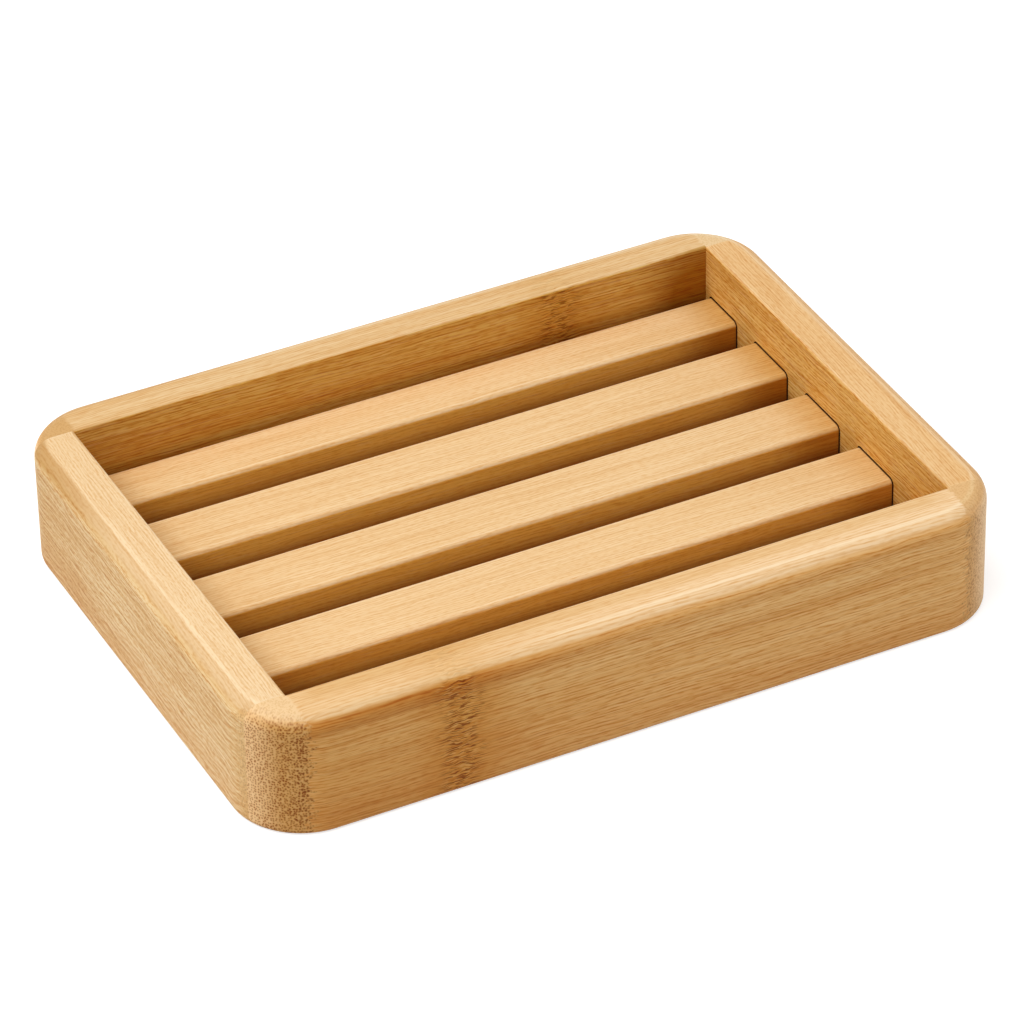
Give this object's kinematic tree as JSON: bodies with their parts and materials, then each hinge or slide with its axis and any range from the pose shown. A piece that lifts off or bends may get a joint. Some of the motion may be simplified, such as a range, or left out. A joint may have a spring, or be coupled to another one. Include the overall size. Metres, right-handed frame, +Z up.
{
  "type": "soap dish",
  "caption": "Low rectangular bamboo soap dish: a frame with rounded corners and a rounded rim round a row of lengthwise drain slats set below the rim.",
  "frame": {"origin": "middle of the underside, on the counter that the dish stands on", "axes": "+X along the dish and its slats, the front towards -Y, +Z up"},
  "size_m": [0.13, 0.095, 0.022],
  "materials": {
    "bamboo_rail": "satin",
    "bamboo_slat": "satin",
    "bamboo_dowel": "unfinished"
  },
  "bodies": {
    "root": {"front_rail": "bamboo_rail", "rear_rail": "bamboo_rail", "left_rail": "bamboo_rail", "right_rail": "bamboo_rail", "slat_1": "bamboo_slat", "slat_2": "bamboo_slat", "slat_3": "bamboo_slat", "slat_4": "bamboo_slat", "slat_5": "bamboo_slat", "dowel_front_left_lower": "bamboo_dowel", "dowel_front_left_upper": "bamboo_dowel", "dowel_front_right_lower": "bamboo_dowel", "dowel_front_right_upper": "bamboo_dowel", "dowel_rear_left_lower": "bamboo_dowel", "dowel_rear_left_upper": "bamboo_dowel", "dowel_rear_right_lower": "bamboo_dowel", "dowel_rear_right_upper": "bamboo_dowel"}
  },
  "joints": []
}
